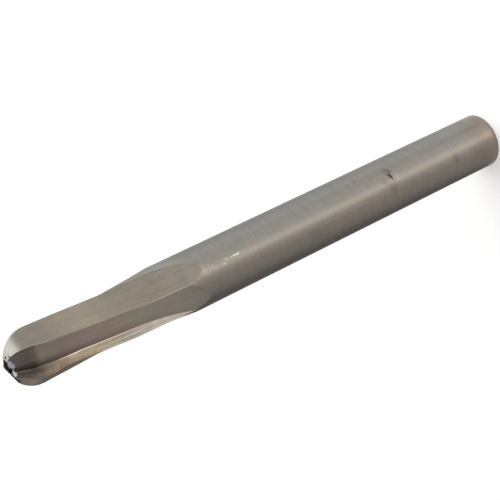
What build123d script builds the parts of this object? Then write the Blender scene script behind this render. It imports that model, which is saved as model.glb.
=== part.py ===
from build123d import *
from math import acos, atan2, cos, degrees, hypot, radians, sin, sqrt
import os

# Rotary burr: a one-piece solid tool with a round shank, three ground teeth and a ball nose.
#
# The shank end stands on the origin plane and the nose points along +Z.
# Each tooth has a wide ground flank, which falls from its cutting edge to its heel, and beside it
# a flute with a long back wall and a narrow rake face. All of it is ground from one round blank.

# Blank, millimetres
SHANK_DIAMETER = 6.0
OVERALL_LENGTH = 60.0
END_CHAMFER = 0.12

# Teeth: how deep each corner of the section lies below the blank, and the land along each edge
TEETH = 3
EDGE_DEPTH_AT_SHANK = 0.135
EDGE_DEPTH_AT_BALL = 0.02
HEEL_DEPTH = 0.39
ROOT_DEPTH = 0.75
EDGE_LAND = 0.04

# Turn of the teeth about the axis, in degrees, over the cut from the shank side to the ball
CUT_LENGTH = 15.9
HEEL_START = -98.5
HEEL_TURN = 23.3
FLANK_SPAN_AT_SHANK = 59.0
FLANK_SPAN_AT_BALL = 64.5

# Share of each flute that its rake face takes, the rest being its back wall
RAKE_SHARE_AT_SHANK = 0.051
RAKE_SHARE_AT_BALL = 0.272

# Where each wheel starts to leave the work, measured back from the centre of the ball
FLANK_RUN_OUT = 12.3
FLANK_WHEEL_RADIUS = 17.0
FLUTE_RUN_OUT = 9.7
LAST_FLUTE_RUN_OUT = 7.5
FLUTE_WHEEL_RADIUS = 26.0
RUN_OUT_MARGIN = 0.4

# For each millimetre past the end of the cut, how far the heel drifts round the blank and how far
# the root's climb lags behind its wheel's, which leans as it leaves
HEEL_SLANT = 0.25
ROOT_LAG = 0.155

# From its run-out to the end of the cut, the last flute's root turns back from the first edge by
# this angle. The first flank then runs on past its edge by this share of its width, and a land
# beside it widens by this angle and climbs by this much towards the blank.
LAST_ROOT_TURN_BACK = 39.5
FIRST_FLANK_OVERRUN = 0.3
LAST_LAND_TURN_BACK = 12.0
LAST_LAND_CLIMB = 0.35

# Nose, millimetres: the flat at the tip, and the gash that runs into it from each flute
TIP_FLAT_RADIUS = 0.24
GASH_LENGTH = 0.9
GASH_WIDTH = 0.24
GASH_DEPTH = 0.35

# Chip broken off the tip: the way it falls about the axis, its slope, and its depth at the axis
CHIP_TURN = 140.0
CHIP_SLOPE = 25.0
CHIP_DEPTH = 0.06

# Steps between the sections along the head and round the ball
HEAD_STEPS = 14
NOSE_STEPS = 8

SHANK_RADIUS = SHANK_DIAMETER / 2
BALL_RADIUS = SHANK_RADIUS - EDGE_DEPTH_AT_BALL
HEEL_RADIUS = SHANK_RADIUS - HEEL_DEPTH
ROOT_RADIUS = SHANK_RADIUS - ROOT_DEPTH
TOOTH_PITCH = 360 / TEETH
LAND_ANGLE = degrees(EDGE_LAND / BALL_RADIUS)
TIP_LATITUDE = acos(TIP_FLAT_RADIUS / BALL_RADIUS)
NOSE_HEIGHT = BALL_RADIUS * sin(TIP_LATITUDE)
BALL_CENTRE = OVERALL_LENGTH - NOSE_HEIGHT


def run_out_end(run_out, wheel_radius, corner_radius, span):
    """How far back from the ball a face this wide about the axis, in degrees, still cuts the blank."""
    climb = SHANK_RADIUS / cos(radians(span / 2)) - corner_radius
    return run_out + sqrt(2 * wheel_radius * climb)


FLANK_END = run_out_end(FLANK_RUN_OUT, FLANK_WHEEL_RADIUS, HEEL_RADIUS, FLANK_SPAN_AT_SHANK)
FLUTE_SPAN = TOOTH_PITCH - FLANK_SPAN_AT_SHANK
FLUTE_END = run_out_end(FLUTE_RUN_OUT, FLUTE_WHEEL_RADIUS, ROOT_RADIUS, FLUTE_SPAN)
HEAD_START = BALL_CENTRE - max(FLANK_END, FLUTE_END) - RUN_OUT_MARGIN


def wheel_lift(height, run_out, wheel_radius):
    """How far a grinding wheel has left the work at this height, climbing on its own radius."""
    past = BALL_CENTRE - run_out - height
    return max(past, 0) ** 2 / (2 * wheel_radius)


def polar_point(radius, angle):
    """A point of a section from its radius and its angle about the axis."""
    return (radius * cos(radians(angle)), radius * sin(radians(angle)))


def share_of_cut(height):
    """How much of the cut lies below this height, from none at the shank side to all at the ball."""
    return min(max(1 - (BALL_CENTRE - height) / CUT_LENGTH, 0), 1)


def section_angles(height):
    """Angles of the first tooth's cutting edge and heel and of its flute's root at this height."""
    along = share_of_cut(height)
    flank_span = FLANK_SPAN_AT_SHANK + (FLANK_SPAN_AT_BALL - FLANK_SPAN_AT_SHANK) * along
    rake_loss = (RAKE_SHARE_AT_BALL - RAKE_SHARE_AT_SHANK) * (1 - along) ** 3
    back_share = 1 - RAKE_SHARE_AT_BALL + rake_loss
    heel_angle = HEEL_START + HEEL_TURN * along**2
    edge_angle = heel_angle + flank_span
    root_angle = heel_angle - back_share * (TOOTH_PITCH - flank_span)
    return edge_angle, heel_angle, root_angle


def section_corners(height, scale=1.0):
    """Corners of the section: each tooth's land, cutting edge and heel, and its flute's root."""
    edge_angle, heel_angle, root_angle = section_angles(height)
    along = share_of_cut(height)
    edge_depth = EDGE_DEPTH_AT_SHANK + (EDGE_DEPTH_AT_BALL - EDGE_DEPTH_AT_SHANK) * along
    past_cut = max(BALL_CENTRE - CUT_LENGTH - height, 0)
    heel_drift = degrees(HEEL_SLANT * past_cut / SHANK_RADIUS)
    flank_lift = wheel_lift(height, FLANK_RUN_OUT, FLANK_WHEEL_RADIUS)
    flute_lift = wheel_lift(height, FLUTE_RUN_OUT, FLUTE_WHEEL_RADIUS)
    last_flute_lift = wheel_lift(height, LAST_FLUTE_RUN_OUT, FLUTE_WHEEL_RADIUS)
    last_flute_past = (BALL_CENTRE - LAST_FLUTE_RUN_OUT - height) / (CUT_LENGTH - LAST_FLUTE_RUN_OUT)
    turn_back = min(max(last_flute_past, 0), 1)
    corners = []
    for tooth in range(TEETH):
        turn = -TOOTH_PITCH * tooth
        land_radius = SHANK_RADIUS - edge_depth + flank_lift
        edge = polar_point(land_radius, edge_angle + turn)
        heel = polar_point(HEEL_RADIUS + flank_lift, heel_angle - heel_drift + turn)
        land_angle = edge_angle + LAND_ANGLE + turn
        if tooth == 0:
            overrun = 1 + FIRST_FLANK_OVERRUN * turn_back
            edge = (heel[0] + (edge[0] - heel[0]) * overrun, heel[1] + (edge[1] - heel[1]) * overrun)
            land_radius = hypot(*edge) + LAST_LAND_CLIMB * turn_back
            land_angle = degrees(atan2(edge[1], edge[0])) + LAND_ANGLE + LAST_LAND_TURN_BACK * turn_back
        root_radius = ROOT_RADIUS + flute_lift - ROOT_LAG * past_cut
        tooth_root_angle = root_angle
        if tooth == TEETH - 1:
            root_radius = ROOT_RADIUS + last_flute_lift
            tooth_root_angle = root_angle + LAST_ROOT_TURN_BACK * turn_back
        corners.append(polar_point(land_radius, land_angle))
        corners.append(edge)
        corners.append(heel)
        corners.append(polar_point(root_radius, tooth_root_angle + turn))
    return [(scale * x, scale * y) for x, y in corners]


# Ground form of the head: the toothed section, from outside the blank at the shank side to the
# ball, and then the same section shrinking over the ball to the flat at the tip
with BuildPart() as ground_form:
    for step in range(HEAD_STEPS + 1):
        height = HEAD_START + (BALL_CENTRE - HEAD_START) * step / HEAD_STEPS
        with BuildSketch(Plane.XY.offset(height)):
            with BuildLine():
                Polyline(*section_corners(height), close=True)
            make_face()
    loft()
    for step in range(NOSE_STEPS + 1):
        latitude = TIP_LATITUDE * step / NOSE_STEPS
        height = BALL_CENTRE + BALL_RADIUS * sin(latitude)
        with BuildSketch(Plane.XY.offset(height)):
            with BuildLine():
                Polyline(*section_corners(height, cos(latitude)), close=True)
            make_face()
    loft()

# The burr: the round blank keeps what the wheels leave of it, and its shank end is chamfered
with BuildPart() as burr:
    with BuildSketch(Plane.XY.offset(HEAD_START)):
        Circle(SHANK_RADIUS)
    extrude(amount=OVERALL_LENGTH - HEAD_START)
    add(ground_form.part, mode=Mode.INTERSECT)
    with BuildSketch():
        Circle(SHANK_RADIUS)
    extrude(amount=HEAD_START)
    chamfer(burr.faces().sort_by(Axis.Z)[0].edges(), END_CHAMFER)

    # A gash from the root of each flute into the tip
    root_at_ball = section_angles(BALL_CENTRE)[2]
    for tooth in range(TEETH):
        outward = polar_point(1, root_at_ball - TOOTH_PITCH * tooth)
        across = polar_point(1, root_at_ball - TOOTH_PITCH * tooth + 90)
        tip_plane = Plane(origin=(0, 0, OVERALL_LENGTH), x_dir=(*across, 0), z_dir=(*outward, 0))
        with BuildSketch(tip_plane):
            with BuildLine():
                Polyline((-GASH_WIDTH / 2, 0), (0, -GASH_DEPTH), (GASH_WIDTH / 2, 0), close=True)
            make_face()
        extrude(amount=GASH_LENGTH, mode=Mode.SUBTRACT)

    # The tip is chipped away on one side, down to a plane that falls from near the axis
    fall = polar_point(sin(radians(CHIP_SLOPE)), CHIP_TURN)
    chip_plane = Plane(
        origin=(0, 0, OVERALL_LENGTH - CHIP_DEPTH), z_dir=(*fall, cos(radians(CHIP_SLOPE)))
    )
    with BuildSketch(chip_plane):
        Circle(SHANK_RADIUS)
    extrude(amount=SHANK_RADIUS, mode=Mode.SUBTRACT)

burr.part.label = "burr"
os.makedirs("parts", exist_ok=True)
export_step(burr.part, "parts/burr.step")
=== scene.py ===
from math import acos, atan2, cos, degrees, pi, radians, sin, sqrt, tan

import bmesh
import bpy
from mathutils import Matrix, Vector, noise


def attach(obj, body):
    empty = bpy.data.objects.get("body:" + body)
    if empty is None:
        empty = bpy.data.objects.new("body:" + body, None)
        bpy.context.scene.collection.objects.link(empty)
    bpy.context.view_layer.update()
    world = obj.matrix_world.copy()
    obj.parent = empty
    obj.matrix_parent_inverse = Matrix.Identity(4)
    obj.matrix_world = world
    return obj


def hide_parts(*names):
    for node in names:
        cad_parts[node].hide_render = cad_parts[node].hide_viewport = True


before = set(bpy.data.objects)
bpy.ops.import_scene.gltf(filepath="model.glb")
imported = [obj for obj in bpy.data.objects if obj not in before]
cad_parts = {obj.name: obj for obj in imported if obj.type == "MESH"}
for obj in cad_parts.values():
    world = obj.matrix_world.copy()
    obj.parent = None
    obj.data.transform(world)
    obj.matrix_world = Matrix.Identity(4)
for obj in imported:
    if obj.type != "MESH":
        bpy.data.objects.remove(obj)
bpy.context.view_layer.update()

# The burr: one piece of cemented carbide, ground from a round blank, with a plain shank, three
# wide teeth wound slightly to the right and a ball nose. The wheels leave fine lines on it, round
# the shank and along the flanks and flutes. Nothing is fixed to it.

# Sizes in millimetres and degrees, as in the part's source
MILLIMETRE = 0.001
SHANK_RADIUS = 3.0
BURR_LENGTH = 60.0
END_CHAMFER = 0.12

# Teeth: how deep each corner of the section lies below the blank, and the land along each edge
TEETH = 3
TOOTH_PITCH = 360 / TEETH
EDGE_DEPTH_AT_SHANK = 0.135
EDGE_DEPTH_AT_BALL = 0.02
HEEL_DEPTH = 0.39
ROOT_DEPTH = 0.75
EDGE_LAND = 0.04

# Turn of the teeth over the cut, and the share of each flute that its rake face takes
CUT_LENGTH = 15.9
HEEL_START = -98.5
HEEL_TURN = 23.3
FLANK_SPAN_AT_SHANK = 59.0
FLANK_SPAN_AT_BALL = 64.5
RAKE_SHARE_AT_SHANK = 0.051
RAKE_SHARE_AT_BALL = 0.272

# Where each wheel starts to leave the work, back from the centre of the ball, and how it drifts
FLANK_RUN_OUT = 12.3
FLANK_WHEEL_RADIUS = 17.0
FLUTE_RUN_OUT = 9.7
LAST_FLUTE_RUN_OUT = 7.5
FLUTE_WHEEL_RADIUS = 26.0
HEEL_SLANT = 0.25
ROOT_LAG = 0.155

# The last flute's root turns back, and the first flank and its land widen beside it
LAST_ROOT_TURN_BACK = 39.5
FIRST_FLANK_OVERRUN = 0.3
LAST_LAND_TURN_BACK = 12.0
LAST_LAND_CLIMB = 0.35

# Nose: the flat at the tip, and the chip's turn about the axis, its slope and its depth
TIP_FLAT_RADIUS = 0.24
CHIP_TURN = 140
CHIP_SLOPE = 25
CHIP_DEPTH = 0.06

BALL_RADIUS = SHANK_RADIUS - EDGE_DEPTH_AT_BALL
HEEL_RADIUS = SHANK_RADIUS - HEEL_DEPTH
ROOT_RADIUS = SHANK_RADIUS - ROOT_DEPTH
TIP_LATITUDE = acos(TIP_FLAT_RADIUS / BALL_RADIUS)
BALL_CENTRE = BURR_LENGTH - BALL_RADIUS * sin(TIP_LATITUDE)

# The head starts this far below the centre of the ball, where its section is all outside the blank
HEAD_BELOW_BALL = 18.1
HEAD_START = BALL_CENTRE - HEAD_BELOW_BALL

# Each heel lies further round than in the part's source. The angle gains over a short stretch of
# the head, and again from beside the ball up to the tip.
HEEL_AHEAD = 1.6
HEEL_AHEAD_GAIN = 2.0
HEEL_GAIN_START = 45.5
HEEL_GAIN_LENGTH = 4
HEEL_AHEAD_AT_TIP = 22.0
HEEL_BALL_START = 55.8

# Other small departures from the part's source: how much, at which height it is most, and how far
# it reaches up and down from there. The second tooth is worn.
ROOT_DIP = (3.4, 56.1, 2.9)
WORN_TOOTH = 1
WORN_HEEL_PROUD = (0.05, 52.6, 4.8)
WORN_EDGE_DEPTH = (0.13, 52.6, 4.8)
WORN_EDGE_SLIP = (6.5, 57.2, 1.7)

# The first flank and its land widen slowly at first, on this power of the last root's turn back
WIDENING_POWER = 1.2


def as_share(value):
    """This value held between 0 and 1."""
    return min(max(value, 0), 1)


def wheel_lift(height, run_out, wheel_radius):
    """How far a grinding wheel has left the work at this height."""
    past = BALL_CENTRE - run_out - height
    return max(past, 0) ** 2 / (2 * wheel_radius)


def hump(height, most, middle, reach):
    """A smooth rise and fall along the burr, at its most in the middle and gone past its reach."""
    return most * max(0, 1 - ((height - middle) / reach) ** 2)


def heel_ahead(height):
    """How much further round the heel lies than in the part's source, in degrees."""
    gain = as_share((height - HEEL_GAIN_START) / HEEL_GAIN_LENGTH)
    over_ball = max(height - HEEL_BALL_START, 0) / (BURR_LENGTH - HEEL_BALL_START)
    return HEEL_AHEAD + HEEL_AHEAD_GAIN * gain + HEEL_AHEAD_AT_TIP * over_ball**2


def polar_point(radius, angle):
    """A point of a section from its radius and its angle about the axis."""
    return Vector((radius * cos(radians(angle)), radius * sin(radians(angle))))


def section_corners(height, scale):
    """Corners of the section: each tooth's land, cutting edge and heel, and its flute's root."""
    along = as_share(1 - (BALL_CENTRE - height) / CUT_LENGTH)
    past_cut = max(BALL_CENTRE - CUT_LENGTH - height, 0)
    edge_gain = (EDGE_DEPTH_AT_SHANK - EDGE_DEPTH_AT_BALL) * along
    edge_radius = SHANK_RADIUS - EDGE_DEPTH_AT_SHANK + edge_gain
    flank_span = FLANK_SPAN_AT_SHANK + (FLANK_SPAN_AT_BALL - FLANK_SPAN_AT_SHANK) * along
    rake_loss = (RAKE_SHARE_AT_BALL - RAKE_SHARE_AT_SHANK) * (1 - along) ** 3
    back_share = 1 - RAKE_SHARE_AT_BALL + rake_loss
    heel_angle = HEEL_START + HEEL_TURN * along**2
    edge_angle = heel_angle + flank_span
    root_angle = heel_angle - back_share * (TOOTH_PITCH - flank_span)
    heel_drift = degrees(HEEL_SLANT * past_cut / SHANK_RADIUS)
    flank_lift = wheel_lift(height, FLANK_RUN_OUT, FLANK_WHEEL_RADIUS)
    flute_lift = wheel_lift(height, FLUTE_RUN_OUT, FLUTE_WHEEL_RADIUS)
    last_flute_lift = wheel_lift(height, LAST_FLUTE_RUN_OUT, FLUTE_WHEEL_RADIUS)
    last_flute_past = BALL_CENTRE - LAST_FLUTE_RUN_OUT - height
    turn_back = as_share(last_flute_past / (CUT_LENGTH - LAST_FLUTE_RUN_OUT))
    widening = turn_back**WIDENING_POWER
    corners = []
    for tooth in range(TEETH):
        turn = -TOOTH_PITCH * tooth
        heel_reach = HEEL_RADIUS + flank_lift
        edge_reach = edge_radius + flank_lift
        edge_turn = edge_angle + turn
        if tooth == WORN_TOOTH:
            heel_reach = heel_reach + hump(height, *WORN_HEEL_PROUD)
            edge_reach = edge_reach - hump(height, *WORN_EDGE_DEPTH)
            edge_turn = edge_turn - hump(height, *WORN_EDGE_SLIP)
        heel = polar_point(heel_reach, heel_angle + heel_ahead(height) - heel_drift + turn)
        edge = polar_point(edge_reach, edge_turn)
        land_turn = degrees(EDGE_LAND / BALL_RADIUS)
        land_climb = 0.0
        if tooth == 0:
            edge = edge + (edge - heel) * FIRST_FLANK_OVERRUN * widening
            land_turn = land_turn + LAST_LAND_TURN_BACK * widening
            land_climb = LAST_LAND_CLIMB * widening
        land_angle = degrees(atan2(edge.y, edge.x)) + land_turn
        land = polar_point(edge.length + land_climb, land_angle)
        root_reach = ROOT_RADIUS + flute_lift - ROOT_LAG * past_cut
        root_turn = root_angle - hump(height, *ROOT_DIP)
        if tooth == TEETH - 1:
            root_reach = ROOT_RADIUS + last_flute_lift
            root_turn = root_turn + LAST_ROOT_TURN_BACK * turn_back
        root = polar_point(root_reach, root_turn + turn)
        corners += [land * scale, edge * scale, heel * scale, root * scale]
    return corners


# A section has four corners to each tooth: land, cutting edge, heel and root. These are the radius
# that the wheels leave at each, its steps, and the metal that shows on it.
TOOTH_CORNERS = 4
CORNER_ROUNDING = (0.012, 0.012, 0.06, 0.10)
ROUNDING_STEPS = (2, 2, 8, 7)
ROUNDING_METALS = ("rake_ground", "edge_painted_highlight", "ridge_painted_light_and_shade", "root_painted_light_and_shade")

# A face follows each corner: land, flank, back wall and rake face. These are its steps across the
# blank before it, across the face itself and across the blank after it, then its width on the
# grinding map, and its metal.
FACE_STEPS = ((2, 2, 2), (5, 22, 5), (5, 17, 5), (4, 9, 4))
FACE_WIDTHS = (0.1, 3.1, 2.0, 0.9)
FACE_METALS = ("rake_ground", "flank_ground", "flute_ground", "rake_ground")

# A rounding is a bend that starts this many times as far from its corner as an arc would, but
# takes at most this share of a face. The least cosine tames a corner that turns right back, and a
# face shorter than the shortest counts as a point.
BEND_CUT = 2
LONGEST_CUT = 0.45
LEAST_COSINE = 0.05
SHORTEST_FACE = 1e-6


def blank_crossings(start, end):
    """Shares of a face, from its start to its end, at which it dips into the blank and leaves it."""
    run = end - start
    length_squared = run.length_squared
    if length_squared < SHORTEST_FACE**2:
        return 0.0, 1.0
    nearest = -start.dot(run) / length_squared
    nearest_squared = (start + run * nearest).length_squared
    half = sqrt(max(SHANK_RADIUS**2 - nearest_squared, 0) / length_squared)
    return as_share(nearest - half), as_share(nearest + half)


def rounding_ends(corners, scale):
    """Where each corner's rounding leaves the face before it and meets the face after it."""
    ends = []
    starts = []
    for index, corner in enumerate(corners):
        before = corners[index - 1] - corner
        after = corners[(index + 1) % len(corners)] - corner
        half_turn = (pi - before.angle(after, pi)) / 2
        steepness = abs(sin(half_turn) / max(cos(half_turn), LEAST_COSINE))
        cut = CORNER_ROUNDING[index % TOOTH_CORNERS] * scale * steepness * BEND_CUT
        cut = min(cut, LONGEST_CUT * before.length, LONGEST_CUT * after.length)
        ends.append(corner + before.normalized() * cut)
        starts.append(corner + after.normalized() * cut)
    return ends, starts


def section_ring(height, scale=1.0):
    """Points round the section, kept inside the blank, and how far round the map each one lies."""
    corners = section_corners(height, scale)
    ends, starts = rounding_ends(corners, scale)
    points = []
    across = []
    walked = 0.0
    for index, corner in enumerate(corners):
        kind = index % TOOTH_CORNERS
        for step in range(ROUNDING_STEPS[kind]):
            share = step / ROUNDING_STEPS[kind]
            bend = ends[index] * (1 - share) ** 2
            bend = bend + corner * 2 * share * (1 - share) + starts[index] * share**2
            points.append(bend)
            across.append(walked)
        start = starts[index]
        end = ends[(index + 1) % len(corners)]
        dips, leaves = blank_crossings(start, end)
        before_steps, face_steps, after_steps = FACE_STEPS[kind]
        shares = [dips * step / before_steps for step in range(before_steps)]
        shares += [dips + (leaves - dips) * step / face_steps for step in range(face_steps)]
        shares += [leaves + (1 - leaves) * step / after_steps for step in range(after_steps)]
        for share in shares:
            points.append(start.lerp(end, share))
            across.append(walked + FACE_WIDTHS[kind] * share)
        walked = walked + FACE_WIDTHS[kind]
    across.append(walked)
    inside = [point * min(1, SHANK_RADIUS / point.length) for point in points]
    return inside, across


def strip_metals():
    """The metal of each strip between two points of a ring, by the wheel that ground it."""
    strips = []
    for kind in range(TOOTH_CORNERS):
        strips += [ROUNDING_METALS[kind]] * ROUNDING_STEPS[kind]
        strips += [FACE_METALS[kind]] * sum(FACE_STEPS[kind])
    return strips * TEETH


# Stretches of rings up to the ball's centre, each from one height to another in so many steps:
# wide apart on the plain shank, close together where the wheels run out
RUN_OUT_TOP = BALL_CENTRE - 6.5
STRETCHES = (
    (END_CHAMFER, HEAD_START, 12),
    (HEAD_START, RUN_OUT_TOP, 130),
    (RUN_OUT_TOP, BALL_CENTRE, 22),
)

# Over the ball the rings lie closer together towards the tip
BALL_STEPS = 50
BALL_CROWDING = 1.3

# Height of each ring, and how far its section has shrunk
ring_heights = [(0.0, 1.0), (END_CHAMFER, 1.0)]
for low, high, steps in STRETCHES:
    for step in range(1, steps + 1):
        ring_heights.append((low + (high - low) * step / steps, 1.0))
for step in range(1, BALL_STEPS + 1):
    latitude = TIP_LATITUDE * (1 - (1 - step / BALL_STEPS) ** BALL_CROWDING)
    ring_heights.append((BALL_CENTRE + BALL_RADIUS * sin(latitude), cos(latitude)))

# Damage at the tip, each from one point across the burr to another: start, end, half width, how deep the
# metal is gone there, and what shows. The dark pieces are pits and a shadowed rim, painted near black as
# painted shade.
TIP_DAMAGE = (
    ((0.98, -0.02), (0.55, -0.52), 0.20, 0.10, "chip_painted_shade"),
    ((0.52, -0.48), (0.02, -0.38), 0.27, 0.12, "chip_painted_shade"),
    ((0.02, -0.42), (-0.26, -0.66), 0.24, 0.12, "chip_painted_shade"),
    ((-0.38, -0.28), (-0.42, 0.16), 0.17, 0.18, "chip_painted_shade"),
    ((0.66, 0.06), (0.50, 0.62), 0.25, 0.14, "chip_painted_shade"),
    ((-0.62, -0.38), (-1.32, -0.46), 0.20, 0.02, "chip_painted_shade"),
    ((-0.30, -0.92), (-0.80, -1.05), 0.14, 0.0, "chip_bright"),
    ((1.01, -0.63), (0.98, -0.70), 0.06, 0.02, "chip_painted_shade"),
    ((0.91, -1.12), (0.91, -1.18), 0.05, 0.02, "chip_painted_shade"),
    ((1.10, -0.95), (1.14, -1.00), 0.04, 0.01, "chip_painted_shade"),
    ((0.50, -0.84), (0.04, -1.08), 0.21, 0.0, "bruise_grey"),
)

# All of it is above this height, and its edges wobble by a small noise
DAMAGE_START = BURR_LENGTH - 1.2
WOBBLE = 0.10
WOBBLES_PER_MILLIMETRE = 5

# The bruise lies in the flute, so it shows only on the flute's own metals
BRUISED_METALS = ("flute_ground", "ridge_painted_light_and_shade", "root_painted_light_and_shade")

# A point this far out lies on the blank
BLANK_REACH = SHANK_RADIUS - 1e-6


def tip_damage(place):
    """Depth and metal of the damage at this point across the tip, or none."""
    noise_place = Vector((place.x * WOBBLES_PER_MILLIMETRE, place.y * WOBBLES_PER_MILLIMETRE, 0))
    wobble = WOBBLE * noise.noise(noise_place)
    for start, end, half_width, depth, metal in TIP_DAMAGE:
        run = Vector(end) - Vector(start)
        share = as_share((place - Vector(start)).dot(run) / run.length_squared)
        if (place - Vector(start) - run * share).length < half_width + wobble:
            return depth, metal
    return 0.0, None


def face_metal(strip, ring_index, height, corners):
    """Metal of a face: that of its damage, else the cut end's, the blank's or its strip's own."""
    damage = None
    if height > DAMAGE_START:
        damage = tip_damage((corners[0] + corners[2]) / 2)[1]
    if damage == "bruise_grey" and strip not in BRUISED_METALS:
        damage = None
    if damage is not None:
        return damage
    if ring_index == 1:
        return "end_cut"
    if all(corner.length > BLANK_REACH for corner in corners):
        return "shank_ground"
    return strip


# The metals that show, in the order of the mesh's slots
METALS = (
    "shank_ground",
    "flank_ground",
    "flute_ground",
    "rake_ground",
    "end_cut",
    "root_painted_light_and_shade",
    "chip_painted_shade",
    "chip_bright",
    "bruise_grey",
    "ridge_painted_light_and_shade",
    "edge_painted_highlight",
)

# Rings of points, with a strip of faces between each and the one below it. The grinding map gives
# each corner of a face its distance round the burr and its height.
vertices = []
faces = []
face_metals = []
map_places = []
strips = strip_metals()
chip_way = polar_point(1, CHIP_TURN)
lower = None
for ring_index, (height, scale) in enumerate(ring_heights):
    ring, across = section_ring(max(height, HEAD_START), scale)
    if ring_index == 0:
        ring = [point * (1 - END_CHAMFER / SHANK_RADIUS) for point in ring]
    first = len(vertices)
    for point in ring:
        chipped = BURR_LENGTH - CHIP_DEPTH - point.dot(chip_way) * tan(radians(CHIP_SLOPE))
        point_height = min(height, chipped)
        if height > DAMAGE_START:
            point_height = point_height - tip_damage(point)[0]
        vertices.append((point.x * MILLIMETRE, point.y * MILLIMETRE, point_height * MILLIMETRE))
    if lower is not None:
        low_first, low_ring, low_height, low_across = lower
        for index, strip in enumerate(strips):
            following = (index + 1) % len(strips)
            faces.append((low_first + index, first + index, first + following, low_first + following))
            corners = (low_ring[index], ring[index], ring[following], low_ring[following])
            face_metals.append(face_metal(strip, ring_index, height, corners))
            map_places.append((low_across[index], low_height))
            map_places.append((across[index], height))
            map_places.append((across[index + 1], height))
            map_places.append((low_across[index + 1], low_height))
    lower = (first, ring, height, across)

# The cut end of the shank, and the flat at the tip
faces.append(tuple(range(len(strips))))
face_metals.append("end_cut")
map_places += [(0.0, 0.0)] * len(strips)
faces.append(tuple(range(len(vertices) - 1, len(vertices) - len(strips) - 1, -1)))
face_metals.append("flute_ground")
map_places += [(0.0, BURR_LENGTH)] * len(strips)

burr_mesh = bpy.data.meshes.new("ground burr")
burr_mesh.from_pydata(vertices, [], faces)
grind_map = burr_mesh.uv_layers.new(name="grind")
for loop_index, map_place in enumerate(map_places):
    grind_map.data[loop_index].uv = map_place
burr_mesh.polygons.foreach_set("material_index", [METALS.index(metal) for metal in face_metals])
burr_mesh.polygons.foreach_set("use_smooth", [True] * len(faces))

# Points that meet are joined, and edges that turn by more than the sharp angle stay crisp
MERGE_DISTANCE = 1.5e-6
NO_DISTANCE = 1e-7
SHARP_ANGLE = 10
shaped = bmesh.new()
shaped.from_mesh(burr_mesh)
bmesh.ops.remove_doubles(shaped, verts=shaped.verts, dist=MERGE_DISTANCE)
bmesh.ops.dissolve_degenerate(shaped, edges=shaped.edges, dist=NO_DISTANCE)
bmesh.ops.recalc_face_normals(shaped, faces=shaped.faces)
for edge in shaped.edges:
    if len(edge.link_faces) == 2 and edge.calc_face_angle(0) > radians(SHARP_ANGLE):
        edge.smooth = False
shaped.to_mesh(burr_mesh)
shaped.free()


def add_object(name, data):
    """Put a new object into the scene."""
    placed = bpy.data.objects.new(name, data)
    bpy.context.scene.collection.objects.link(placed)
    return placed


burr = add_object("ground_burr", burr_mesh)


def new_material(name):
    """A new material, made of nodes."""
    material = bpy.data.materials.new(name)
    material.use_nodes = True
    return material


def add_node(tree, kind, inputs, operation=None):
    """Add a node. Each input takes a fixed value, or the output of another node."""
    node = tree.nodes.new("ShaderNode" + kind)
    if operation is not None:
        node.operation = operation
    for name, value in inputs.items():
        if isinstance(value, bpy.types.NodeSocket):
            tree.links.new(value, node.inputs[name])
        else:
            node.inputs[name].default_value = value
    return node


def product(tree, first, second):
    """The product of two outputs."""
    return add_node(tree, "Math", {0: first, 1: second}, "MULTIPLY").outputs["Value"]


def set_ramp(ramp, stops):
    """Give a colour ramp these stops, each a place from 0 to 1 and its colour."""
    for place, colour in stops[1:-1]:
        ramp.elements.new(place)
    for element, (place, colour) in zip(ramp.elements, stops):
        element.position = place
        element.color = colour if len(colour) == 4 else (*colour, 1)


def add_relief(tree, height, strength, depth):
    """Raise and sink the surface by an output."""
    relief = add_node(tree, "Bump", {"Height": height, "Strength": strength, "Distance": depth})
    tree.links.new(relief.outputs["Normal"], tree.nodes["Principled BSDF"].inputs["Normal"])


# Most of a noise lies between these, and is spread over a metal's whole range
NOISE_LOW = 0.3
NOISE_HIGH = 0.7

# How much of a metal's grain is faint patches of handling and coolant, and not the wheel's lines
PATCH_SHARE = 0.22

# Tint of the metal where it is coolest, and what the warmest adds to that
COOLEST = (0.92, 1.0, 1.08)
COOL_TO_WARM = (0.16, 0.0, -0.16)

# The back wall on the grinding map, and the share of its width at which its foot starts
WALL_START = FACE_WIDTHS[0] + FACE_WIDTHS[1]
WALL_WIDTH = FACE_WIDTHS[2]
FOOT_START = 0.55

# Noise at which a broken face is darkest and palest
GRAIN_STOPS = (0.35, 0.65)

# A mark fades out between these shares of its half size, and its edge wanders by this much
MARK_FADE = (0.3, 1.1)
MARK_WANDER = 1.2

shank_ring, shank_across = section_ring(HEAD_START)
shank_angles = [degrees(atan2(point.y, point.x)) for point in shank_ring]


def across_at(angle):
    """How far round the shank's map the point at this angle about the axis lies."""
    gaps = [abs((ring_angle - angle + 180) % 360 - 180) for ring_angle in shank_angles]
    return shank_across[gaps.index(min(gaps))]


def spread_noise(tree, grain, low, high):
    """A noise spread over a range."""
    spread = add_node(
        tree,
        "MapRange",
        {"Value": grain, "From Min": NOISE_LOW, "From Max": NOISE_HIGH, "To Min": low, "To Max": high},
    )
    return spread.outputs["Result"]


def painted_foot_shade(tree, round_burr, foot_level):
    """A factor of painted shade that falls, down the foot of each flute's back wall, to its level at the
    root.
    """
    round_tooth = add_node(tree, "Math", {0: round_burr, 1: sum(FACE_WIDTHS)}, "MODULO")
    foot = add_node(
        tree,
        "MapRange",
        {
            "Value": round_tooth.outputs["Value"],
            "From Min": WALL_START + FOOT_START * WALL_WIDTH,
            "From Max": WALL_START + WALL_WIDTH,
            "To Min": 1.0,
            "To Max": foot_level,
        },
    )
    foot.interpolation_type = "SMOOTHSTEP"
    return foot.outputs["Result"]


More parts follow.
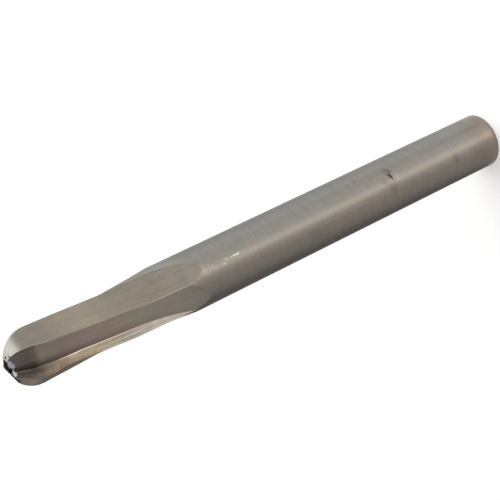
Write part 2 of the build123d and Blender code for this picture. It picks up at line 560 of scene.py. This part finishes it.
def mark_shade(tree, place, wander, mark):
    """A factor for a nick or a stain, or for a painted glint, highlight or patch of shade, which is an
    oval on the ground surface.
    """
    angle, height, slant, half_round, half_up, brightness = mark
    oval = add_node(
        tree,
        "Mapping",
        {
            "Vector": place.outputs["UV"],
            "Location": (across_at(angle), height, 0),
            "Rotation": (0, 0, radians(slant)),
            "Scale": (half_round, half_up, 1),
        },
    )
    oval.vector_type = "TEXTURE"
    ragged = add_node(tree, "VectorMath", {0: oval.outputs["Vector"], 1: wander}, "ADD")
    reach = add_node(tree, "VectorMath", {0: ragged.outputs["Vector"]}, "LENGTH")
    fade = add_node(
        tree,
        "MapRange",
        {
            "Value": reach.outputs["Value"],
            "From Min": MARK_FADE[0],
            "From Max": MARK_FADE[1],
            "To Min": brightness,
            "To Max": 1.0,
        },
    )
    fade.interpolation_type = "SMOOTHSTEP"
    return fade.outputs["Result"]


def ground_metal(name, tones, roughness, anisotropy, line_scale, contrast, turn=0.0, marks=()):
    """Bare carbide: its tone by height up the burr, which holds painted light and shade, and the fine
    lines that a wheel leaves.

    The tones are heights with their colours, the roughness goes from its least to its most, and
    the turn is that of the sheen, as a share of a full circle.
    """
    tree = new_material(name).node_tree
    shader = tree.nodes["Principled BSDF"]
    shader.inputs["Metallic"].default_value = 1.0
    shader.inputs["Anisotropic"].default_value = anisotropy
    shader.inputs["Anisotropic Rotation"].default_value = turn
    tangent = add_node(tree, "Tangent", {})
    tangent.direction_type = "RADIAL"
    tangent.axis = "Z"
    tree.links.new(tangent.outputs["Tangent"], shader.inputs["Tangent"])
    place = add_node(tree, "TexCoord", {})
    on_map = add_node(tree, "SeparateXYZ", {"Vector": place.outputs["UV"]})

    # Tone by height, over the stretch between the first and the last stop. On the faces of the head it
    # is mostly painted light and shade.
    low = tones[0][0]
    high = tones[-1][0]
    climb = add_node(tree, "MapRange", {"Value": on_map.outputs["Y"], "From Min": low, "From Max": high})
    tone = add_node(tree, "ValToRGB", {"Fac": climb.outputs["Result"]})
    set_ramp(tone.color_ramp, [((height - low) / (high - low), colour) for height, colour in tones])

    # Fine lines along the wheel's path, and the faint patches
    stretch = add_node(tree, "Mapping", {"Vector": place.outputs["UV"], "Scale": line_scale})
    lines = add_node(
        tree,
        "TexNoise",
        {"Vector": stretch.outputs["Vector"], "Scale": 1.0, "Detail": 4.0, "Roughness": 0.65},
    ).outputs["Fac"]
    on_metal = place.outputs["Object"]
    patches = add_node(tree, "TexNoise", {"Vector": on_metal, "Scale": 900.0, "Detail": 3.0})
    both = add_node(tree, "Mix", {"Factor": PATCH_SHARE, "A": lines, "B": patches.outputs["Fac"]})
    grain = both.outputs["Result"]
    level = spread_noise(tree, grain, 1 - contrast, 1 + contrast)

    # Where a stop's fourth number is under 1, the face darkens to it at its foot, by the root, as
    # painted shade
    if any(len(colour) == 4 for height, colour in tones):
        level = product(tree, level, painted_foot_shade(tree, on_map.outputs["X"], tone.outputs["Alpha"]))

    if marks:
        edge_noise = add_node(tree, "TexNoise", {"Vector": on_metal, "Scale": 4000.0})
        middle = -MARK_WANDER / 2
        wander = add_node(
            tree,
            "VectorMath",
            {0: edge_noise.outputs["Color"], 1: (MARK_WANDER, MARK_WANDER, 0), 2: (middle, middle, 0)},
            "MULTIPLY_ADD",
        )
    for mark in marks:
        level = product(tree, level, mark_shade(tree, place, wander.outputs["Vector"], mark))

    # The tone drifts slowly between cooler and warmer, and the level from all above scales it
    drift = add_node(tree, "TexNoise", {"Vector": on_metal, "Scale": 320.0, "Detail": 2.0})
    tint = add_node(
        tree,
        "VectorMath",
        {0: drift.outputs["Fac"], 1: COOL_TO_WARM, 2: COOLEST},
        "MULTIPLY_ADD",
    ).outputs["Vector"]
    tinted = add_node(tree, "VectorMath", {0: tone.outputs["Color"], 1: tint}, "MULTIPLY")
    shaded = add_node(tree, "VectorMath", {0: tinted.outputs["Vector"], "Scale": level}, "SCALE")
    tree.links.new(shaded.outputs["Vector"], shader.inputs["Base Color"])
    tree.links.new(spread_noise(tree, grain, *roughness), shader.inputs["Roughness"])
    add_relief(tree, lines, strength=0.25, depth=0.000004)


def broken_metal(name, tones, metallic, roughness):
    """Grain of the carbide where a chip has come off or the metal is bruised, from dark to pale. In the
    pits the dark is painted shade.
    """
    tree = new_material(name).node_tree
    shader = tree.nodes["Principled BSDF"]
    shader.inputs["Metallic"].default_value = metallic
    shader.inputs["Roughness"].default_value = roughness
    place = add_node(tree, "TexCoord", {})
    grain = add_node(
        tree,
        "TexNoise",
        {"Vector": place.outputs["Object"], "Scale": 9000.0, "Detail": 3.0},
    ).outputs["Fac"]
    tone = add_node(tree, "ValToRGB", {"Fac": grain})
    set_ramp(tone.color_ramp, list(zip(GRAIN_STOPS, tones)))
    tree.links.new(tone.outputs["Color"], shader.inputs["Base Color"])
    add_relief(tree, grain, strength=0.6, depth=0.00003)


# The shank, ground between two wheels with its lines running round it, and the lands of the blank
# between the teeth. Its tone is darker and warmer over the last millimetres by the cut end, a warm tint
# with painted shade over it, and lighter on the lands, which is painted light.
SHANK_TONES_AND_PAINTED_LIGHT = (
    (0.0, (0.290, 0.250, 0.212)),
    (1.0, (0.266, 0.238, 0.208)),
    (2.2, (0.250, 0.232, 0.208)),
    (4.6, (0.270, 0.262, 0.238)),
    (40.2, (0.270, 0.262, 0.238)),
    (42.2, (0.350, 0.350, 0.319)),
    (46.0, (0.345, 0.335, 0.300)),
    (50.0, (0.345, 0.325, 0.290)),
)

# The nick, its smudges, the dot and the stains darken the metal. The pale mark below the nick, the glint
# and the short streaks beside the end of the flank are painted highlights.
# Angle about the axis, height, slant on the map, half size round and up, and how bright it is
SHANK_MARKS_AND_PAINTED_GLINTS = (
    (-71.1, 14.99, -32, 0.42, 0.18, 0.20),
    (-58.5, 14.80, -36, 0.36, 0.17, 0.45),
    (-64.4, 15.23, 0, 0.55, 0.40, 0.76),
    (-80.8, 15.96, 0, 0.36, 0.36, 0.84),
    (-86.0, 14.30, 0, 0.45, 0.40, 1.14),
    (-52.5, 18.94, 0, 0.20, 0.16, 0.62),
    (-101.0, 6.3, 10, 0.45, 0.60, 0.82),
    (-99.0, 15.3, 15, 0.60, 0.80, 0.84),
    (-110.0, 12.4, 0, 0.50, 0.70, 0.90),
    (-118.0, 26.0, 0, 0.80, 1.60, 0.92),
    (-86.6, 36.90, 0, 0.07, 0.20, 1.6),
    (-86.0, 36.45, 0, 0.07, 0.22, 1.8),
    (-84.4, 35.95, 0, 0.07, 0.20, 1.6),
    (-83.6, 35.55, 0, 0.08, 0.26, 2.0),
    (-82.8, 35.15, 0, 0.09, 0.30, 2.2),
    (-85.3, 39.12, 4, 0.50, 0.10, 1.45),
    (-83.6, 38.82, 8, 0.36, 0.09, 1.22),
    (-85.2, 38.48, 6, 0.30, 0.10, 1.28),
    (-85.0, 38.12, 9, 0.28, 0.08, 1.20),
    (-87.3, 37.86, 5, 0.24, 0.10, 1.16),
)
ground_metal(
    "shank_ground",
    SHANK_TONES_AND_PAINTED_LIGHT,
    roughness=(0.34, 0.42),
    anisotropy=0.7,
    line_scale=(0.35, 4, 1),
    contrast=0.12,
    turn=0.25,
    marks=SHANK_MARKS_AND_PAINTED_GLINTS,
)

# The wide flanks, with lines along the burr and a painted highlight on one of them beside the tip. Their
# tone by height is partly painted light and shade.
FLANK_TONES_AND_PAINTED_LIGHT = (
    (40.0, (0.262, 0.239, 0.205)),
    (42.4, (0.252, 0.230, 0.199)),
    (44.4, (0.226, 0.206, 0.178)),
    (48.6, (0.253, 0.231, 0.195)),
    (52.0, (0.324, 0.288, 0.235)),
    (56.0, (0.260, 0.232, 0.194)),
    (60.0, (0.244, 0.225, 0.208)),
)
FLANK_PAINTED_HIGHLIGHT = ((171.0, 58.6, 0, 1.9, 1.6, 1.6),)
FACE_LINES = (5, 0.2, 1)
ground_metal(
    "flank_ground",
    FLANK_TONES_AND_PAINTED_LIGHT,
    roughness=(0.30, 0.42),
    anisotropy=0.5,
    line_scale=FACE_LINES,
    contrast=0.16,
    marks=FLANK_PAINTED_HIGHLIGHT,
)

# The back walls of the flutes, darker at the foot and towards the nose, which is painted shade
FLUTE_TONES_AND_PAINTED_SHADE = (
    (42.0, (0.325, 0.305, 0.273, 0.95)),
    (44.4, (0.327, 0.307, 0.275, 0.90)),
    (46.6, (0.345, 0.333, 0.291, 0.85)),
    (49.3, (0.322, 0.281, 0.249, 0.75)),
    (52.0, (0.294, 0.248, 0.232, 0.66)),
    (55.0, (0.228, 0.205, 0.181, 0.50)),
    (57.5, (0.205, 0.180, 0.162, 0.25)),
    (60.0, (0.215, 0.195, 0.185, 0.18)),
)
ground_metal(
    "flute_ground",
    FLUTE_TONES_AND_PAINTED_SHADE,
    roughness=(0.30, 0.42),
    anisotropy=0.5,
    line_scale=FACE_LINES,
    contrast=0.13,
)

# The rake faces and the fine lands along the edges, with the strongest lines. Their tone by height is
# painted light near the shank and painted shade towards the nose, and on one rake face there is a
# painted highlight at the ball and painted shade below it.
RAKE_TONES_AND_PAINTED_LIGHT = (
    (43.0, (0.540, 0.520, 0.470)),
    (44.4, (0.480, 0.458, 0.415)),
    (46.6, (0.376, 0.374, 0.358)),
    (48.8, (0.348, 0.348, 0.316)),
    (50.2, (0.342, 0.334, 0.280)),
    (52.0, (0.323, 0.280, 0.213)),
    (54.4, (0.259, 0.211, 0.156)),
    (56.0, (0.162, 0.133, 0.105)),
    (57.5, (0.072, 0.060, 0.050)),
    (60.0, (0.100, 0.084, 0.072)),
)
RAKE_PAINTED_LIGHT_AND_SHADE = (
    (-159.0, 57.9, 0, 0.5, 2.6, 1.75),
    (-159.0, 53.3, 0, 0.4, 2.0, 0.72),
)
ground_metal(
    "rake_ground",
    RAKE_TONES_AND_PAINTED_LIGHT,
    roughness=(0.28, 0.40),
    anisotropy=0.4,
    line_scale=(4.4, 0.15, 1),
    contrast=0.55,
    marks=RAKE_PAINTED_LIGHT_AND_SHADE,
)

# The cut end and its chamfer, with no lines of their own
END_TONES = (
    (0.0, (0.25, 0.225, 0.20)),
    (0.2, (0.27, 0.24, 0.21)),
)
ground_metal(
    "end_cut",
    END_TONES,
    roughness=(0.40, 0.50),
    anisotropy=0.0,
    line_scale=(3, 3, 1),
    contrast=0.12,
)

# The narrow rounded strips between the faces: root, heel ridge and cutting edge. Their tones are painted
# light and shade: the root's bright line is a painted highlight and its dark stretch by the nose painted
# shade, the ridge is darkened by painted shade along the middle of the head, and the edge is lightened
# by a painted highlight.
ROOT_TONES_AND_PAINTED_LIGHT = (
    (42.0, (0.44, 0.40, 0.36)),
    (45.6, (0.56, 0.51, 0.45)),
    (48.0, (0.70, 0.64, 0.56)),
    (50.9, (1.00, 0.94, 0.84)),
    (53.6, (1.00, 0.91, 0.79)),
    (54.9, (0.46, 0.41, 0.355)),
    (56.0, (0.185, 0.165, 0.145)),
    (57.5, (0.14, 0.125, 0.115)),
    (59.0, (0.32, 0.30, 0.28)),
    (60.0, (0.42, 0.40, 0.37)),
)
RIDGE_TONES_AND_PAINTED_LIGHT = (
    (41.0, (0.38, 0.35, 0.32)),
    (44.5, (0.34, 0.31, 0.28)),
    (46.5, (0.24, 0.22, 0.19)),
    (48.0, (0.19, 0.17, 0.145)),
    (55.0, (0.19, 0.17, 0.145)),
    (57.0, (0.30, 0.27, 0.24)),
    (60.0, (0.36, 0.34, 0.32)),
)
EDGE_TONES_AND_PAINTED_HIGHLIGHT = (
    (40.0, (0.31, 0.29, 0.26)),
    (47.0, (0.33, 0.31, 0.27)),
    (52.0, (0.38, 0.34, 0.28)),
    (60.0, (0.36, 0.33, 0.29)),
)

# Name of each, its tones, its roughness and its anisotropy
NARROW_STRIPS = (
    ("root_painted_light_and_shade", ROOT_TONES_AND_PAINTED_LIGHT, (0.18, 0.24), 0.3),
    ("ridge_painted_light_and_shade", RIDGE_TONES_AND_PAINTED_LIGHT, (0.30, 0.40), 0.5),
    ("edge_painted_highlight", EDGE_TONES_AND_PAINTED_HIGHLIGHT, (0.30, 0.40), 0.5),
)
for strip_name, strip_tones, strip_roughness, strip_anisotropy in NARROW_STRIPS:
    ground_metal(
        strip_name,
        strip_tones,
        strip_roughness,
        strip_anisotropy,
        line_scale=(7, 0.25, 1),
        contrast=0.12,
    )

# The broken tip: pits and a shadowed rim painted near black as painted shade, a bright chip and a grey
# bruise
PIT_PAINTED_SHADE = ((0.004, 0.004, 0.004), (0.020, 0.018, 0.018))
CHIP_TONES = ((0.50, 0.47, 0.45), (0.80, 0.78, 0.76))
BRUISE_TONES = ((0.30, 0.30, 0.38), (0.66, 0.65, 0.76))
broken_metal("chip_painted_shade", PIT_PAINTED_SHADE, metallic=1.0, roughness=0.8)
broken_metal("chip_bright", CHIP_TONES, metallic=0.3, roughness=0.5)
broken_metal("bruise_grey", BRUISE_TONES, metallic=0.5, roughness=0.5)

# Each metal takes its slot
for metal_name in METALS:
    burr_mesh.materials.append(bpy.data.materials[metal_name])

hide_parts("burr")
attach(burr, "root")

# The floor: a plain pale sheet of paper that the burr stands on. It shows white to the camera and
# in the metal, and it takes the burr's shadow.
FLOOR_HALF_WIDTH = 3.0
PAPER_GLOW = 0.395
floor_mesh = bpy.data.meshes.new("floor sheet")
floor_shape = bmesh.new()
bmesh.ops.create_grid(floor_shape, x_segments=1, y_segments=1, size=FLOOR_HALF_WIDTH)
floor_shape.to_mesh(floor_mesh)
floor_shape.free()
floor = add_object("floor", floor_mesh)
floor_paper = new_material("floor_paper")
floor_tree = floor_paper.node_tree
paper_shader = floor_tree.nodes["Principled BSDF"]
paper_shader.inputs["Roughness"].default_value = 0.9
paper_shader.inputs["Specular IOR Level"].default_value = 0.1
paper_place = add_node(floor_tree, "TexCoord", {})
paper_grain = add_node(floor_tree, "TexNoise", {"Vector": paper_place.outputs["Object"], "Scale": 300.0})
paper_tone = add_node(floor_tree, "ValToRGB", {"Fac": paper_grain.outputs["Fac"]})
set_ramp(paper_tone.color_ramp, ((0.0, (0.80, 0.80, 0.80)), (1.0, (0.82, 0.82, 0.82))))
floor_tree.links.new(paper_tone.outputs["Color"], paper_shader.inputs["Base Color"])

# The paper glows for what sees it straight or mirrored, and throws no light of its own
rays = add_node(floor_tree, "LightPath", {}).outputs
seen = rays["Is Camera Ray"]
for ray_kind in ("Is Glossy Ray", "Is Transmission Ray"):
    seen = add_node(floor_tree, "Math", {0: seen, 1: rays[ray_kind]}, "MAXIMUM").outputs["Value"]
white_level = add_node(floor_tree, "Math", {0: seen, 1: PAPER_GLOW}, "MULTIPLY")
paper_shader.inputs["Emission Color"].default_value = (1, 1, 1, 1)
floor_tree.links.new(white_level.outputs["Value"], paper_shader.inputs["Emission Strength"])
floor_paper.cycles.emission_sampling = "NONE"
floor_mesh.materials.append(floor_paper)

# The light: a soft box on the side of the wide flank, and a card on the floor round the burr that
# shows only in the metal. It is bright in front and falls to dark, so that the bare metal has a
# light side and a dark side. The surround is pale above the light side.
BURR_MIDDLE = Vector((0, 0, BURR_LENGTH / 2 * MILLIMETRE))
side_lamp = bpy.data.lights.new("side_box", "AREA")
side_lamp.shape = "RECTANGLE"
side_lamp.size = 2.4
side_lamp.size_y = 1.2
side_lamp.energy = 21.5
side_lamp.color = (0.91, 0.98, 1.0)
side_box = add_object("side_box", side_lamp)
side_box.location = (1.285, 0.599, 1.108)
side_box.rotation_euler = (side_box.location - BURR_MIDDLE).to_track_quat("Z", "Y").to_euler()

# Azimuth of the card in degrees, and how bright it is there
CARD_LEVELS = (
    (75, (0.45, 0.45, 0.45)),
    (60, (0.60, 0.60, 0.60)),
    (44, (0.66, 0.65, 0.65)),
    (24, (0.82, 0.81, 0.82)),
    (8, (0.98, 0.97, 0.97)),
    (-16, (1.07, 1.06, 1.06)),
    (-38, (0.96, 0.94, 0.92)),
    (-50, (1.12, 1.09, 1.05)),
    (-62, (1.33, 1.25, 1.19)),
    (-76, (1.62, 1.50, 1.42)),
    (-84, (2.10, 1.92, 1.78)),
    (-90, (1.88, 1.69, 1.54)),
    (-98, (1.23, 1.11, 1.03)),
    (-112, (0.93, 0.84, 0.78)),
    (-125, (0.78, 0.70, 0.66)),
    (-142, (0.70, 0.63, 0.59)),
    (-164, (0.57, 0.53, 0.49)),
    (-190, (0.33, 0.315, 0.31)),
    (-204, (0.22, 0.21, 0.21)),
    (-224, (0.21, 0.205, 0.21)),
    (-240, (0.24, 0.22, 0.20)),
    (-255, (0.30, 0.27, 0.25)),
    (-262, (0.95, 0.84, 0.76)),
    (-268, (1.45, 1.30, 1.18)),
    (-277, (1.55, 1.40, 1.28)),
    (-285, (1.10, 1.00, 0.92)),
)
CARD_START = CARD_LEVELS[0][0]
CARD_SPAN = CARD_START - CARD_LEVELS[-1][0]
CARD_NEAR = 0.0033
CARD_FAR = 1.2
CARD_LIFT = 0.0002
CARD_STEPS = 144
card_mesh = bpy.data.meshes.new("card sheet")
card_points = []
card_faces = []
for step in range(CARD_STEPS + 1):
    azimuth = CARD_START - CARD_SPAN * step / CARD_STEPS
    for reach in (CARD_NEAR, CARD_FAR):
        flat_point = polar_point(reach, azimuth)
        card_points.append((flat_point.x, flat_point.y, CARD_LIFT))
    if step:
        card_faces.append((2 * step - 2, 2 * step, 2 * step + 1, 2 * step - 1))
card_mesh.from_pydata(card_points, [], card_faces)

# The card's map runs from 0 to 1 round the burr, and so does the ramp of its levels
card_map = card_mesh.uv_layers.new(name="round")
for face_index in range(CARD_STEPS):
    corner_steps = (face_index, face_index + 1, face_index + 1, face_index)
    for corner, step in enumerate(corner_steps):
        card_map.data[4 * face_index + corner].uv = (step / CARD_STEPS, 0.5)

card = add_object("card", card_mesh)
card_paper = new_material("card_paper")
card_tree = card_paper.node_tree
card_tree.nodes.remove(card_tree.nodes["Principled BSDF"])
card_place = add_node(card_tree, "TexCoord", {})
card_split = add_node(card_tree, "SeparateXYZ", {"Vector": card_place.outputs["UV"]})
card_tone = add_node(card_tree, "ValToRGB", {"Fac": card_split.outputs["X"]})
card_stops = [((CARD_START - azimuth) / CARD_SPAN, level) for azimuth, level in CARD_LEVELS]
set_ramp(card_tone.color_ramp, card_stops)
card_glow = add_node(card_tree, "Emission", {"Color": card_tone.outputs["Color"]})
card_surface = card_tree.nodes["Material Output"].inputs["Surface"]
card_tree.links.new(card_glow.outputs["Emission"], card_surface)
card_paper.cycles.emission_sampling = "NONE"
card_mesh.materials.append(card_paper)
card.visible_camera = False
card.visible_diffuse = False
card.visible_shadow = False

# The surround is white to the camera. To the metal it has a tone by how far it lies to the light
# side.
SKY_TONES = (
    (0.0, (0.56, 0.48, 0.43)),
    (0.3, (0.31, 0.28, 0.265)),
    (0.5, (0.42, 0.395, 0.375)),
    (1.0, (1.02, 1.02, 1.00)),
)
world = bpy.data.worlds.new("studio")
bpy.context.scene.world = world
world.use_nodes = True
sky_tree = world.node_tree
surround = sky_tree.nodes["Background"]
sky_place = add_node(sky_tree, "TexCoord", {})
sky_split = add_node(sky_tree, "SeparateXYZ", {"Vector": sky_place.outputs["Generated"]})
sky_side = add_node(
    sky_tree,
    "MapRange",
    {"Value": sky_split.outputs["X"], "From Min": -1.0, "From Max": 1.0},
)
sky_tone = add_node(sky_tree, "ValToRGB", {"Fac": sky_side.outputs["Result"]})
set_ramp(sky_tone.color_ramp, SKY_TONES)
sky_seen = add_node(sky_tree, "LightPath", {})
sky_white = add_node(sky_tree, "Mix", {})
sky_white.data_type = "RGBA"
sky_tree.links.new(sky_seen.outputs["Is Camera Ray"], sky_white.inputs["Factor"])
sky_tree.links.new(sky_tone.outputs["Color"], sky_white.inputs["A"])
sky_white.inputs["B"].default_value = (1, 1, 1, 1)
sky_tree.links.new(sky_white.outputs["Result"], surround.inputs["Color"])
surround.inputs["Strength"].default_value = 1.0

# The camera: it looks down on the burr from the nose end, at the photograph's angle and with the
# photograph's perspective. Its focal length is given in the picture's pixels.
SENSOR_WIDTH = 36.0
PICTURE_PIXELS = 500
FOCAL_PIXELS = 1281
camera_data = bpy.data.cameras.new("camera")
camera_data.sensor_fit = "HORIZONTAL"
camera_data.sensor_width = SENSOR_WIDTH
camera_data.lens = SENSOR_WIDTH * FOCAL_PIXELS / PICTURE_PIXELS
camera_data.shift_x = -0.001
camera_data.shift_y = 0.001
camera_data.clip_start = 0.01
camera_data.clip_end = 20.0
camera = add_object("camera", camera_data)
camera_place = Vector((0.0, -0.114187, 0.091627))
picture_right = Vector((-0.436625, -0.415309, -0.798046))
picture_up = Vector((0.899643, -0.202292, -0.386936))
towards_camera = Vector((-0.000740, -0.886903, 0.461956))
turned = Matrix((picture_right, picture_up, towards_camera)).transposed().to_4x4()
camera.matrix_world = Matrix.Translation(camera_place) @ turned
bpy.context.scene.camera = camera

bpy.context.scene.view_settings.view_transform = "Standard"
